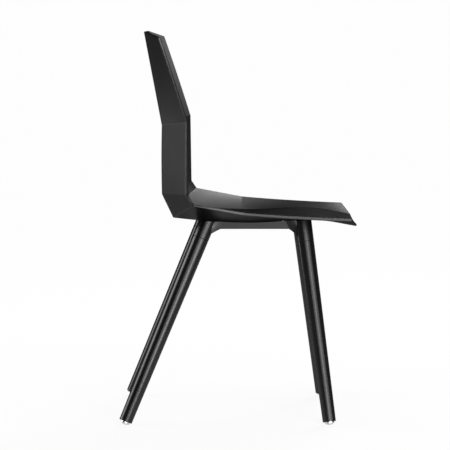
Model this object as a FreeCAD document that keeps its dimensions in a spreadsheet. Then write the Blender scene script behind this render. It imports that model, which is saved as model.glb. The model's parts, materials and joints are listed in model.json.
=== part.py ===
import FreeCAD, Part
import Sketcher

import math
import os

from FreeCAD import Placement, Rotation, Vector

# Faceted shell chair, in millimetres: +Z up, the sitter looks along -Y, left is +X.
# The origin is on the floor, under the middle of the chair's outer box.
document = FreeCAD.newDocument("shell_chair")
sheet = document.addObject("Spreadsheet::Sheet", "Sizes")

# Driving dimensions. "half" is measured from the middle plane, "back" from the seat's
# front lip, "rise" and "drop" from the seat's fold line. Angles are in degrees.
SIZES = {
    "seat_height": 431.3,
    "shell_wall": 6.0,
    # Corners of the sitting face, from the top of the back down to the front lip.
    "crown_crease_half": 85.0,
    "crown_crease_back": 449.8,
    "crown_crease_rise": 400.5,
    "crown_rim_half": 174.0,
    "crown_rim_back": 419.1,
    "crown_rim_rise": 388.2,
    "upper_fold_crease_half": 106.0,
    "upper_fold_crease_back": 411.0,
    "upper_fold_crease_rise": 199.6,
    "upper_fold_rim_half": 194.0,
    "upper_fold_rim_back": 359.7,
    "upper_fold_rim_rise": 209.1,
    "lower_fold_crease_half": 140.0,
    "lower_fold_crease_back": 410.2,
    "lower_fold_crease_rise": 55.5,
    "lower_fold_rim_half": 234.5,
    "lower_fold_rim_back": 357.3,
    "lower_fold_rim_rise": 59.2,
    "corner_crease_half": 150.0,
    "corner_crease_back": 388.0,
    "corner_crease_rise": 10.3,
    "corner_rim_half": 252.0,
    "corner_rim_back": 346.0,
    "corner_rim_rise": 41.3,
    "seat_fold_back": 243.5,
    "seat_fold_crease_half": 150.0,
    "seat_fold_rim_half": 243.5,
    "seat_fold_rim_rise": 22.4,
    "lip_crease_half": 137.0,
    "lip_drop": 9.8,
    "lip_corner_half": 235.2,
    "lip_corner_back": 15.2,
    "lip_corner_rise": 8.8,
    # Gentle curves between those corners.
    "middle_back_bow": 1.0,
    "rear_seat_bow": 1.9,
    "hump_back": 97.0,
    "hump_rise": 4.6,
    "lip_dish": 3.0,
    "front_rim_sag": 1.6,
    # Screw bosses under the seat, with their brass inserts.
    "mount_inset": 22.0,
    "front_mount_back": 147.0,
    "rear_mount_back": 289.0,
    "boss_diameter": 18.0,
    "insert_diameter": 8.2,
    "insert_bore": 6.2,
    "insert_length": 8.0,
    "insert_tip_room": 1.5,
    # Side castings under the seat. An inset is measured in from a casting's outer face.
    "casting_half": 146.0,
    "casting_drop": 20.1,
    "casting_wall": 5.0,
    "flange_drop": 12.3,
    "flange_width": 31.0,
    "flange_thickness": 4.0,
    "shell_clearance": 0.5,
    "front_gusset_reach": 35.7,
    "rear_gusset_reach": 37.0,
    "gusset_drop": 11.6,
    "gusset_flare": 6.0,
    "pad_diameter": 20.0,
    "pad_bore": 6.8,
    "pad_thickness": 2.0,
    # Sockets: where each leg's shoulder meets its socket, and how the legs lean.
    "front_seam_inset": 3.0,
    "front_seam_back": 109.6,
    "front_seam_drop": 47.5,
    "rear_seam_inset": 4.0,
    "rear_seam_back": 334.1,
    "rear_seam_drop": 40.2,
    "leg_splay": 10.3,
    "front_leg_rake": 7.45,
    "rear_leg_rake": 22.45,
    "socket_height": 60.0,
    "socket_top_diameter": 37.2,
    "socket_bore_depth": 22.5,
    "socket_web": 6.0,
    "socket_recess_diameter": 17.0,
    # Turned legs.
    "leg_seam_diameter": 36.0,
    "leg_foot_diameter": 28.0,
    "leg_edge_chamfer": 0.5,
    "tenon_diameter": 24.0,
    "tenon_length": 22.0,
    "bush_diameter": 12.0,
    "bush_bore": 8.2,
    "bush_length": 20.0,
    "bolt_hole_diameter": 8.6,
    "bolt_hole_depth": 26.0,
    # Glides under the legs.
    "glide_diameter": 21.0,
    "glide_dome_radius": 17.0,
    "glide_stand": 6.7,
    "glide_wear": 0.3,
    "nail_diameter": 3.0,
    "nail_length": 20.0,
    "nail_grip": 3.0,
    "nail_point": 3.0,
    # Screws, bolts and washers.
    "screw_diameter": 6.0,
    "screw_length": 16.0,
    "screw_head_diameter": 10.5,
    "screw_head_height": 3.3,
    "screw_key": 4.0,
    "screw_hole": 6.6,
    "washer_diameter": 12.0,
    "washer_thickness": 1.2,
    "rail_screw_length": 10.0,
    "bolt_diameter": 8.0,
    "bolt_length": 30.0,
    "bolt_head_diameter": 13.0,
    "bolt_head_height": 8.0,
    "bolt_key": 6.0,
    "bolt_washer_diameter": 16.0,
    "bolt_washer_thickness": 1.6,
    # Flat cross rails between the castings.
    "front_rail_back": 178.0,
    "rear_rail_back": 257.0,
    "rail_width": 35.0,
    "rail_thickness": 6.0,
    "rail_screw_inset": 20.0,
    "rail_screw_spacing": 18.0,
    # Clearances and the overrun of every cut.
    "fit_clearance": 0.1,
    "rail_clearance": 0.5,
    "cut_overrun": 5.0,
}

# Sizes that follow from the driving ones.
DERIVED = {
    "wall_inner_half": "casting_half - casting_wall",
    "mount_half": "casting_half - mount_inset",
    "rail_screw_half": "casting_half - rail_screw_inset",
    "front_seam_half": "casting_half - front_seam_inset",
    "rear_seam_half": "casting_half - rear_seam_inset",
    "flange_top": "seat_height - flange_drop",
    "flange_bottom": "flange_top - flange_thickness",
    "boss_face": "flange_top + pad_thickness",
    "front_lean": "sqrt(1 + tan(leg_splay) ^ 2 + tan(front_leg_rake) ^ 2)",
    "rear_lean": "sqrt(1 + tan(leg_splay) ^ 2 + tan(rear_leg_rake) ^ 2)",
    "dome_centre_depth": "glide_dome_radius - glide_stand",
    "front_foot_height": "glide_dome_radius - glide_wear - dome_centre_depth / front_lean",
    "rear_foot_height": "glide_dome_radius - glide_wear - dome_centre_depth / rear_lean",
    "front_leg_drop": "seat_height - front_seam_drop - front_foot_height",
    "rear_leg_drop": "seat_height - rear_seam_drop - rear_foot_height",
    "front_leg_length": "front_leg_drop * front_lean",
    "rear_leg_length": "rear_leg_drop * rear_lean",
    "rear_foot_back": "rear_seam_back + rear_leg_drop * tan(rear_leg_rake)",
    "foot_edge_share": "sqrt(1 - (tan(rear_leg_rake) / rear_lean) ^ 2)",
    "chair_depth": "rear_foot_back + leg_foot_diameter / 2 * foot_edge_share",
    "front_socket_back": "front_seam_back + (front_seam_drop - flange_drop) * tan(front_leg_rake)",
    "rear_socket_back": "rear_seam_back - (rear_seam_drop - flange_drop) * tan(rear_leg_rake)",
    "rail_length": "2 * (wall_inner_half - rail_clearance)",
    "nail_hole": "nail_diameter + 2 * fit_clearance",
    "nail_hole_depth": "nail_length - nail_grip + 2 * fit_clearance",
}

row = 0
for name, value in SIZES.items():
    row += 1
    sheet.set(f"A{row}", name)
    sheet.set(f"B{row}", str(value))
    sheet.setAlias(f"B{row}", name)
for name, formula in DERIVED.items():
    row += 1
    sheet.set(f"A{row}", name)
    sheet.set(f"B{row}", "=" + formula)
    sheet.setAlias(f"B{row}", name)
document.recompute()


def size(alias):
    """Value of one named size."""
    return float(sheet.get(alias))


def bind(item, **formulas):
    """Bind properties of an object to formulas of the named sizes."""
    for prop, formula in formulas.items():
        item.setExpression(prop, formula)
    return item


LIP_Y = -size("chair_depth") / 2
UP = Vector(0, 0, 1)
SIDES = {"left": 1, "right": -1}
ENDS = ("front", "rear")

# A turn that lays a sketch's own x along the chair's depth and its own y upwards.
SIDE_VIEW = Rotation(Vector(1, 1, 1), 120)

pieces = []


def keep(item):
    """List an object as one of the chair's nodes."""
    pieces.append(item)
    return item


def draw_outline(sketch, points):
    """Draw a closed outline through points given as pairs of formulas."""
    places = []
    for along, across in points:
        places.append((float(sheet.evalExpression(along)), float(sheet.evalExpression(across))))
    for index, start in enumerate(places):
        end = places[(index + 1) % len(places)]
        sketch.addGeometry(Part.LineSegment(Vector(*start, 0), Vector(*end, 0)), False)
    for index in range(len(places)):
        following = (index + 1) % len(places)
        sketch.addConstraint(Sketcher.Constraint("Coincident", index, 2, following, 1))
    for index, (place, formulas) in enumerate(zip(places, points)):
        for kind, axis, value, formula in (
            ("DistanceX", -2, place[0], formulas[0]),
            ("DistanceY", -1, place[1], formulas[1]),
        ):
            if value == 0:
                sketch.addConstraint(Sketcher.Constraint("PointOnObject", index, 1, axis))
                continue
            bound = sketch.addConstraint(Sketcher.Constraint(kind, -1, 1, index, 1, value))
            sketch.setExpression(f"Constraints[{bound}]", formula)


def body_sketch(body, role, points):
    """A sketch on one of a body's own origin planes."""
    sketch = body.newObject("Sketcher::SketchObject", body.Name + "_outline")
    plane = [item for item in body.Origin.OriginFeatures if item.Role == role][0]
    sketch.AttachmentSupport = [(plane, "")]
    sketch.MapMode = "FlatFace"
    draw_outline(sketch, points)
    return sketch


def turned_body(name, profile, placement=Placement()):
    """A turned piece: (radius, height) pairs spun about its own upright axis."""
    body = document.addObject("PartDesign::Body", name)
    sketch = body_sketch(body, "XZ_Plane", profile)
    turning = body.newObject("PartDesign::Revolution", name + "_turning")
    turning.Profile = sketch
    turning.ReferenceAxis = (sketch, ["V_Axis"])
    turning.Angle = 360
    body.Placement = placement
    return body


def ring(name, bore, diameter, height, placement=Placement()):
    """A plain ring, such as a washer, pad or threaded insert."""
    inner = f"({bore}) / 2"
    outer = f"({diameter}) / 2"
    return turned_body(name, [(inner, "0"), (outer, "0"), (outer, height), (inner, height)], placement)


def cylinder(name, diameter, height, base):
    """An upright cylinder whose lower face is centred on base."""
    item = document.addObject("Part::Cylinder", name)
    bind(item, Radius=f"({diameter}) / 2", Height=height)
    item.Placement = Placement(base, Rotation())
    return item


def extrusion(name, points, placement, direction, length):
    """A flat outline pulled along one direction."""
    sketch = document.addObject("Sketcher::SketchObject", name + "_outline")
    sketch.Placement = placement
    draw_outline(sketch, points)
    pulled = document.addObject("Part::Extrusion", name)
    pulled.Base = sketch
    pulled.DirMode = "Custom"
    pulled.Dir = direction
    pulled.Solid = True
    return bind(pulled, LengthFwd=length)


def joined(name, items):
    """Several operands made into one."""
    union = document.addObject("Part::MultiFuse", name)
    union.Shapes = items
    return union


def cut(name, base, tool):
    """One operand taken away from another."""
    difference = document.addObject("Part::Cut", name)
    difference.Base = base
    difference.Tool = tool
    return difference


def copies(name, master, placements):
    """One node that groups equal, separate solids."""
    links = []
    for index, placement in enumerate(placements, start=1):
        link = document.addObject("App::Link", f"{name}_{index}")
        link.LinkedObject = master
        link.Placement = placement
        links.append(link)
    group = document.addObject("Part::Compound", name)
    group.Links = links
    return keep(group)


def at(half, back, height):
    """A point from its distance off the middle plane, behind the lip and above the floor."""
    return Vector(half, LIP_Y + back, height)


# Seat shell: one moulding of flat panels, folded along creases, with a curved front.
def shell_corner(half, back, rise):
    return at(half, back, size("seat_height") + rise)


def between(start, end, share):
    return start + (end - start) * share


crease_corners = [
    shell_corner(
        size(fold + "_crease_half"), size(fold + "_crease_back"), size(fold + "_crease_rise")
    )
    for fold in ("crown", "upper_fold", "lower_fold", "corner")
]
crease_corners.append(shell_corner(size("seat_fold_crease_half"), size("seat_fold_back"), 0))
crease_corners.append(shell_corner(size("lip_crease_half"), 0, -size("lip_drop")))
rim_corners = [
    shell_corner(size(fold + "_rim_half"), size(fold + "_rim_back"), size(fold + "_rim_rise"))
    for fold in ("crown", "upper_fold", "lower_fold", "corner")
]
rim_corners.append(
    shell_corner(
        size("seat_fold_rim_half"), size("seat_fold_back"), size("seat_fold_rim_rise")
    )
)
rim_corners.append(
    shell_corner(size("lip_corner_half"), size("lip_corner_back"), size("lip_corner_rise"))
)

# The rim is thicker where the back meets the seat, and the lip is thinner: shares of the
# wall at each corner.
RIM_WALL_SHARES = (1.0, 0.95, 1.35, 0.95, 1.05, 1.0)
CREASE_WALL_SHARES = (1.0, 1.0, 1.0, 1.0, 1.0, 0.8)

# The curved front of the crease: share of the way from the seat's fold to the hump and of
# the hump's rise, then of the way from the hump to the lip, of the fall and of the dish.
RISE_SHARES = ((0.5, 0.48), (1.0, 1.0))
FALL_SHARES = ((0.4, 0.24, 0.3), (0.77, 0.71, 0.75))


def front_crease():
    """Points of the crease between the seat's fold and the lip, each with its dish share."""
    fold, lip = crease_corners[4], crease_corners[5]
    run = size("seat_fold_back")
    points = []
    for way_share, rise_share in RISE_SHARES:
        back = run - (run - size("hump_back")) * way_share
        half = between(lip, fold, back / run).x
        points.append((shell_corner(half, back, size("hump_rise") * rise_share), 0))
    for way_share, fall_share, dish_share in FALL_SHARES:
        back = size("hump_back") * (1 - way_share)
        half = between(lip, fold, back / run).x
        fall = (size("hump_rise") + size("lip_drop")) * fall_share
        points.append((shell_corner(half, back, size("hump_rise") - fall), dish_share))
    return points


def facet_normal(across, along):
    normal = across.cross(along)
    return normal.normalize()


def skin_offset(normals, wall):
    """The step from the sitting face to the outer face at a corner of several panels."""
    mean = Vector(0, 0, 0)
    for normal in normals:
        mean += normal
    mean.normalize()
    spread = sum(mean.dot(normal) for normal in normals) / len(normals)
    return mean * (wall / spread)


def mid_point(start, end, bow, across):
    """The middle of an edge, bowed away from the sitter."""
    outward = facet_normal(across, end - start)
    return between(start, end, 0.5) + outward * bow


# Each stretch between two folds is a list of points, for the crease and for the rim.
SIDEWAYS = Vector(1, 0, 0)
crease_stretches = []
rim_stretches = []
for index in range(5):
    crease_start, crease_end = crease_corners[index], crease_corners[index + 1]
    rim_start, rim_end = rim_corners[index], rim_corners[index + 1]
    crease_stretch = [crease_start, crease_end]
    rim_stretch = [rim_start, rim_end]
    if index == 1:
        crease_stretch.insert(
            1, mid_point(crease_start, crease_end, size("middle_back_bow"), SIDEWAYS)
        )
    if index == 3:
        crease_stretch.insert(
            1, mid_point(crease_start, crease_end, size("rear_seat_bow"), SIDEWAYS)
        )
    if index == 4:
        crease_stretch[1:1] = [point for point, dish_share in front_crease()]
        rim_stretch.insert(1, mid_point(rim_start, rim_end, size("front_rim_sag"), SIDEWAYS))
    crease_stretches.append(crease_stretch)
    rim_stretches.append(rim_stretch)


def outer_stretches(stretches, partners, walls, flat_middle):
    """The same stretches on the outer face, one wall away."""
    points = []
    for number, stretch in enumerate(stretches):
        for step, point in enumerate(stretch[:-1]):
            share = step / (len(stretch) - 1)
            partner = between(partners[number], partners[number + 1], share)
            wall = walls[number] + (walls[number + 1] - walls[number]) * share
            points.append((point, partner, wall))
    points.append((stretches[-1][-1], partners[-1], walls[-1]))
    moved = []
    for index, (point, partner, wall) in enumerate(points):
        across = partner - point if partner.x > point.x else point - partner
        normals = []
        for other in (index - 1, index + 1):
            if 0 <= other < len(points):
                along = (points[other][0] - point) * (other - index)
                normals.append(facet_normal(across, along))
                if flat_middle:
                    normals.append(facet_normal(SIDEWAYS, along))
        moved.append(point + skin_offset(normals, wall))
    result = []
    first = 0
    for stretch in stretches:
        result.append(moved[first : first + len(stretch)])
        first += len(stretch) - 1
    return result


wall = size("shell_wall")
outer_crease = outer_stretches(
    crease_stretches, rim_corners, [wall * share for share in CREASE_WALL_SHARES], True
)
outer_rim = outer_stretches(
    rim_stretches, crease_corners, [wall * share for share in RIM_WALL_SHARES], False
)


def edge_through(points):
    """A straight edge, an arc or a smooth curve, by the number of points."""
    if len(points) == 2:
        return Part.LineSegment(*points).toShape()
    if len(points) == 3:
        return Part.Arc(*points).toShape()
    curve = Part.BSplineCurve()
    curve.interpolate(points)
    return curve.toShape()


def opposite(point):
    return Vector(-point.x, point.y, point.z)


def dished_panel(stretch):
    """The curved panel in front of the seat's fold, dished towards the lip."""
    dish_shares = [0] + [share for point, share in front_crease()] + [1]
    grid = []
    for point, share in zip(stretch, dish_shares):
        middle = Vector(0, point.y, point.z - size("lip_dish") * share)
        grid.append([opposite(point), middle, point])
    surface = Part.BSplineSurface()
    surface.interpolate(grid)
    return surface


def skin(crease, rim):
    """Faces of one side of the moulding, and its edges at the crown and at the lip."""
    faces = []
    for crease_stretch, rim_stretch in zip(crease, rim):
        if len(crease_stretch) > 3:
            surface = dished_panel(crease_stretch)
            faces.append(surface.toShape())
            first_v, last_v = surface.bounds()[2:]
            crease_edge = surface.vIso(last_v).toShape()
            lip_edge = surface.uIso(surface.bounds()[1]).toShape()
        else:
            crease_edge = edge_through(crease_stretch)
            far_edge = edge_through([opposite(point) for point in crease_stretch])
            faces.append(Part.makeRuledSurface(far_edge, crease_edge))
        wing = Part.makeRuledSurface(crease_edge, edge_through(rim_stretch))
        faces.append(wing)
        faces.append(wing.mirror(Vector(0, 0, 0), SIDEWAYS))
    crown, lip = crease[0][0], crease[-1][-1]
    crown_middle = edge_through([opposite(crown), crown])
    crown_wing = edge_through([crown, rim[0][0]])
    lip_wing = edge_through([lip, rim[-1][-1]])
    return faces, [crown_middle, lip_edge], [crown_wing, lip_wing]


inner_faces, inner_middles, inner_wings = skin(crease_stretches, rim_stretches)
outer_faces, outer_middles, outer_wings = skin(outer_crease, outer_rim)
border = [Part.makeRuledSurface(*edges) for edges in zip(inner_middles, outer_middles)]
for inner_edge, outer_edge in zip(inner_wings, outer_wings):
    border.append(Part.makeRuledSurface(inner_edge, outer_edge))
for inner_points, outer_points in zip(rim_stretches, outer_rim):
    border.append(Part.makeRuledSurface(edge_through(inner_points), edge_through(outer_points)))
for face in border[2:]:
    border.append(face.mirror(Vector(0, 0, 0), SIDEWAYS))
moulding = Part.makeCompound(inner_faces + outer_faces + border)
moulding.sewShape()
moulding = Part.makeSolid(moulding.Shells[0])
if moulding.Volume < 0:
    moulding.reverse()


def underside(y):
    """Height of the moulding's lower face at the crease, for a place along the depth."""
    points = outer_crease[3] + outer_crease[4][1:]
    for rear, front in zip(points, points[1:]):
        if front.y <= y <= rear.y:
            return between(front, rear, (y - front.y) / (rear.y - front.y)).z
    return points[-1].z


# Round bosses reach down from the seat to the pads, with blind holes for the inserts.
mount_points = []
for end in ENDS:
    for side in SIDES.values():
        mount_points.append(
            at(side * size("mount_half"), size(end + "_mount_back"), size("boss_face"))
        )
bosses = []
insert_holes = []
for point in mount_points:
    boss_height = underside(point.y) + wall / 2 - point.z
    bosses.append(Part.makeCylinder(size("boss_diameter") / 2, boss_height, point, UP))
    hole_depth = size("insert_length") + size("insert_tip_room")
    hole_radius = size("insert_diameter") / 2 + size("fit_clearance")
    insert_holes.append(Part.makeCylinder(hole_radius, hole_depth, point, UP))
seat_shell = document.addObject("Part::Feature", "seat_shell")
seat_shell.Shape = moulding.fuse(bosses).cut(insert_holes)
seat_shell.Placement = Placement()
keep(seat_shell)


# Legs, sockets and glides share one leaning axis at each corner.
def leg_up(side, end):
    """Unit vector up the leg."""
    lean = math.tan(math.radians(size(end + "_leg_rake")))
    splay = math.tan(math.radians(size("leg_splay")))
    direction = Vector(-SIDES[side] * splay, lean if end == "front" else -lean, 1)
    return direction.normalize()


def along_leg(side, end, distance):
    """Placement on the leg's axis, at a distance above the seam."""
    seam = at(
        SIDES[side] * size(end + "_seam_half"),
        size(end + "_seam_back"),
        size("seat_height") - size(end + "_seam_drop"),
    )
    direction = leg_up(side, end)
    return Placement(seam + direction * distance, Rotation(UP, direction))


corners = [(side, end) for end in ENDS for side in SIDES]


def make_leg(side, end):
    """A turned leg with its tenon, the bush's hole on top and the nail's hole below."""
    length = f"Sizes.{end}_leg_length"
    top = f"{length} + Sizes.tenon_length"
    tenon = "Sizes.tenon_diameter / 2"
    bush_hole = "Sizes.bush_diameter / 2 + Sizes.fit_clearance"
    bolt_hole = "Sizes.bolt_hole_diameter / 2"
    nail_hole = "Sizes.nail_hole / 2"
    chamfer = "Sizes.leg_edge_chamfer"
    profile = [
        (nail_hole, "0"),
        (f"Sizes.leg_foot_diameter / 2 - {chamfer}", "0"),
        ("Sizes.leg_foot_diameter / 2", chamfer),
        ("Sizes.leg_seam_diameter / 2", f"{length} - {chamfer}"),
        (f"Sizes.leg_seam_diameter / 2 - {chamfer}", length),
        (tenon, length),
        (tenon, top),
        (bush_hole, top),
        (bush_hole, f"{top} - Sizes.bush_length"),
        (bolt_hole, f"{top} - Sizes.bush_length"),
        (bolt_hole, f"{top} - Sizes.bolt_hole_depth"),
        ("0", f"{top} - Sizes.bolt_hole_depth"),
        ("0", "Sizes.nail_hole_depth"),
        (nail_hole, "Sizes.nail_hole_depth"),
    ]
    foot = along_leg(side, end, -size(f"{end}_leg_length"))
    return keep(turned_body(f"leg_{end}_{side}", profile, foot))


for side, end in corners:
    make_leg(side, end)


def make_glide(side, end):
    """A domed metal button under the leg, worn flat where it stands on the floor."""
    name = f"glide_{end}_{side}"
    length = size(f"{end}_leg_length")
    dome = document.addObject("Part::Sphere", name + "_dome")
    bind(dome, Radius="Sizes.glide_dome_radius")
    dome.Placement = along_leg(side, end, size("dome_centre_depth") - length)
    barrel = document.addObject("Part::Cylinder", name + "_barrel")
    bind(barrel, Radius="Sizes.glide_diameter / 2", Height="Sizes.glide_stand")
    barrel.Placement = along_leg(side, end, -size("glide_stand") - length)
    button = document.addObject("Part::Common", name + "_button")
    button.Base = barrel
    button.Tool = dome
    hole = document.addObject("Part::Cylinder", name + "_hole")
    bind(hole, Radius="Sizes.nail_hole / 2", Height="Sizes.nail_grip + Sizes.cut_overrun")
    hole.Placement = along_leg(side, end, -size("nail_grip") - length)
    floor = document.addObject("Part::Box", name + "_floor")
    width = "2 * Sizes.glide_diameter"
    bind(floor, Length=width, Width=width, Height="Sizes.cut_overrun")
    under = along_leg(side, end, -length).Base
    reach = size("glide_diameter")
    corner = Vector(under.x - reach, under.y - reach, -size("cut_overrun"))
    floor.Placement = Placement(corner, Rotation())
    return keep(cut(name, button, joined(name + "_cuts", [hole, floor])))


for side, end in corners:
    make_glide(side, end)

# Glide nails, driven up into the legs.
nail_straight = "Sizes.nail_length - Sizes.nail_point"
nail = turned_body(
    "nail",
    [
        ("0", "0"),
        ("Sizes.nail_diameter / 2", "0"),
        ("Sizes.nail_diameter / 2", nail_straight),
        ("0", "Sizes.nail_length"),
    ],
)
nail_places = []
for side, end in corners:
    nail_places.append(
        along_leg(side, end, -size(f"{end}_leg_length") - size("nail_grip"))
    )
copies("glide_nails", nail, nail_places)

# Threaded bushes in the tenons.
bush = ring("bush", "Sizes.bush_bore", "Sizes.bush_diameter", "Sizes.bush_length")
bush_base = size("tenon_length") - size("bush_length")
copies("leg_bushes", bush, [along_leg(side, end, bush_base) for side, end in corners])


# Side castings: an upright wall and a flange between two sockets, blended by gussets.
# Each gusset's outlines are shares of its reach from the socket, with its flare and drop.
FLARE_SHARES = ((1.0, 0.0), (0.75, 0.2), (0.5, 0.55), (0.3, 1.0), (0.1, 1.0))
FRONT_DROP_SHARES = ((1.0, 0.0), (0.78, 0.0), (0.53, 0.62), (0.4, 1.0), (0.2, 1.0))
REAR_DROP_SHARES = ((1.0, 0.0), (0.83, 0.0), (0.55, 0.54), (0.29, 1.0), (0.1, 1.0))
DROP_SHARES = {"front": FRONT_DROP_SHARES, "rear": REAR_DROP_SHARES}
casting_bottom = "Sizes.seat_height - Sizes.casting_drop"


def make_gusset(end):
    """The web that blends the wall into a socket, seen from above and from the side."""
    sign = "+" if end == "front" else "-"
    reach = f"Sizes.{end}_gusset_reach"

    def back(share):
        return f"Sizes.{end}_socket_back {sign} {share} * {reach}"

    plan = [
        (f"Sizes.casting_half + {flare} * Sizes.gusset_flare", back(share))
        for share, flare in FLARE_SHARES
    ]
    plan.append(("Sizes.wall_inner_half", back(FLARE_SHARES[-1][0])))
    plan.append(("Sizes.wall_inner_half", back(FLARE_SHARES[0][0])))
    side_view = [
        (back(share), f"{casting_bottom} - {drop} * Sizes.gusset_drop")
        for share, drop in DROP_SHARES[end]
    ]
    side_view.append((back(DROP_SHARES[end][-1][0]), "Sizes.seat_height"))
    side_view.append((back(DROP_SHARES[end][0][0]), "Sizes.seat_height"))
    upright = extrusion(
        f"{end}_gusset_plan", plan, Placement(at(0, 0, 0), Rotation()), UP, "Sizes.seat_height"
    )
    sideways = extrusion(
        f"{end}_gusset_side",
        side_view,
        Placement(at(0, 0, 0), SIDE_VIEW),
        SIDEWAYS,
        "2 * Sizes.casting_half",
    )
    gusset = document.addObject("Part::Common", f"{end}_gusset")
    gusset.Base = upright
    gusset.Tool = sideways
    return gusset


def make_socket(end):
    """The solid cone of a socket, in line with its leg."""
    cone = document.addObject("Part::Cone", f"{end}_socket")
    bind(
        cone,
        Radius1="Sizes.leg_seam_diameter / 2",
        Radius2="Sizes.socket_top_diameter / 2",
        Height="Sizes.socket_height",
    )
    cone.Placement = along_leg("left", end, 0)
    return cone


def make_socket_bore(end):
    """What is taken out of a socket: tenon bore, bolt hole, recess and the mouth's chamfer."""
    tenon = "Sizes.tenon_diameter / 2 + Sizes.fit_clearance"
    seam = "Sizes.cut_overrun"
    web_bottom = f"{seam} + Sizes.socket_bore_depth"
    web_top = f"{web_bottom} + Sizes.socket_web"
    top = f"{seam} + Sizes.socket_height + Sizes.cut_overrun"
    profile = [
        ("0", "0"),
        (tenon, "0"),
        (tenon, web_bottom),
        ("Sizes.bolt_hole_diameter / 2", web_bottom),
        ("Sizes.bolt_hole_diameter / 2", web_top),
        ("Sizes.socket_recess_diameter / 2", web_top),
        ("Sizes.socket_recess_diameter / 2", top),
        ("0", top),
    ]
    place = along_leg("left", end, -size("cut_overrun"))
    bore = turned_body(f"{end}_socket_bore", profile, place)
    rim = "Sizes.leg_seam_diameter / 2"
    groove_profile = [
        (f"{rim} - Sizes.leg_edge_chamfer", seam),
        (f"{rim} + Sizes.cut_overrun", seam),
        (f"{rim} + Sizes.cut_overrun", f"{seam} + Sizes.cut_overrun + Sizes.leg_edge_chamfer"),
    ]
    groove = turned_body(f"{end}_socket_groove", groove_profile, place)
    return [bore, groove]


casting_solids = [make_socket(end) for end in ENDS] + [make_gusset(end) for end in ENDS]
web = document.addObject("Part::Box", "casting_web")
bind(
    web,
    Length="Sizes.casting_wall",
    Width="Sizes.rear_socket_back - Sizes.front_socket_back",
    Height="Sizes.casting_drop",
)
web.Placement = Placement(
    at(
        size("wall_inner_half"),
        size("front_socket_back"),
        size("seat_height") - size("casting_drop"),
    ),
    Rotation(),
)
flange = document.addObject("Part::Box", "casting_flange")
bind(
    flange,
    Length="Sizes.flange_width",
    Width="Sizes.rear_socket_back - Sizes.front_socket_back",
    Height="Sizes.flange_thickness",
)
flange.Placement = Placement(
    at(
        size("wall_inner_half") - size("flange_width"),
        size("front_socket_back"),
        size("flange_bottom"),
    ),
    Rotation(),
)
casting_solids += [web, flange]

# The castings stay below the seat by a clearance that follows its lower face.
UNDERSIDE_STEPS = 24
lower_line = edge_through(outer_crease[3]).discretize(UNDERSIDE_STEPS)
lower_line += edge_through(outer_crease[4]).discretize(UNDERSIDE_STEPS)[1:]
space_top = size("seat_height") + size("socket_height")
space_outline = [Vector(0, p.y, p.z - size("shell_clearance")) for p in lower_line]
space_outline.append(Vector(0, lower_line[-1].y, space_top))
space_outline.append(Vector(0, lower_line[0].y, space_top))
space_outline.append(space_outline[0])
seat_space = document.addObject("Part::Feature", "seat_space")
seat_space.Shape = Part.Face(Part.makePolygon(space_outline)).extrude(
    SIDEWAYS * 2 * size("casting_half")
)
seat_space.Placement = Placement()


def rail_screw_points(height):
    """Places of the left-hand rail screws at a height."""
    points = []
    for end in ENDS:
        for step in (-1, 1):
            back = size(f"{end}_rail_back") + step * size("rail_screw_spacing") / 2
            points.append(at(size("rail_screw_half"), back, height))
    return points


casting_cuts = [seat_space]
for end in ENDS:
    casting_cuts += make_socket_bore(end)
flange_hole_base = size("flange_bottom") - size("cut_overrun")
flange_hole_places = rail_screw_points(flange_hole_base)
for end in ENDS:
    flange_hole_places.append(
        at(size("mount_half"), size(end + "_mount_back"), flange_hole_base)
    )
for index, point in enumerate(flange_hole_places, start=1):
    casting_cuts.append(
        cylinder(
            f"flange_hole_{index}",
            "Sizes.screw_hole",
            "Sizes.flange_thickness + 2 * Sizes.cut_overrun",
            point,
        )
    )
casting_left = cut(
    "side_casting_left",
    joined("casting_body", casting_solids),
    joined("casting_openings", casting_cuts),
)
keep(casting_left)
casting_right = document.addObject("Part::Mirroring", "side_casting_right")
casting_right.Source = casting_left
casting_right.Normal = SIDEWAYS
keep(casting_right)


# Cross rails: flat bars with threaded holes, laid on the flanges.
def make_rail(end):
    bar = document.addObject("Part::Box", f"{end}_rail_bar")
    bind(
        bar,
        Length="Sizes.rail_length",
        Width="Sizes.rail_width",
        Height="Sizes.rail_thickness",
    )
    back = size(f"{end}_rail_back") - size("rail_width") / 2
    bar.Placement = Placement(
        at(-size("rail_length") / 2, back, size("flange_top")), Rotation()
    )
    holes = []
    for side in SIDES.values():
        for step in (-1, 1):
            hole_back = size(f"{end}_rail_back") + step * size("rail_screw_spacing") / 2
            base = at(
                side * size("rail_screw_half"),
                hole_back,
                size("flange_top") - size("cut_overrun"),
            )
            holes.append(
                cylinder(
                    f"{end}_rail_hole_{len(holes) + 1}",
                    "Sizes.screw_diameter + 2 * Sizes.fit_clearance",
                    "Sizes.rail_thickness + 2 * Sizes.cut_overrun",
                    base,
                )
            )
    return keep(cut(f"cross_rail_{end}", bar, joined(f"{end}_rail_holes", holes)))


for end in ENDS:
    make_rail(end)

# Rubber pads between the flanges and the seat's bosses.
for end in ENDS:
    for side, sign in SIDES.items():
        place = at(sign * size("mount_half"), size(end + "_mount_back"), size("flange_top"))
        keep(
            ring(
                f"pad_{end}_{side}",
                "Sizes.pad_bore",
                "Sizes.pad_diameter",
                "Sizes.pad_thickness",
                Placement(place, Rotation()),
            )
        )


# Screws: a head with a hexagon socket, and a plain shank for the thread. Shares of the
# head's diameter and height, and of the shank's diameter.
CROWN_SHARE = 0.85
CROWN_HEIGHT_SHARE = 0.3
KEY_DEPTH_SHARE = 0.6
TIP_SHARE = 0.8
TIP_HEIGHT_SHARE = 0.1
KEY_SIDES = 6


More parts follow.
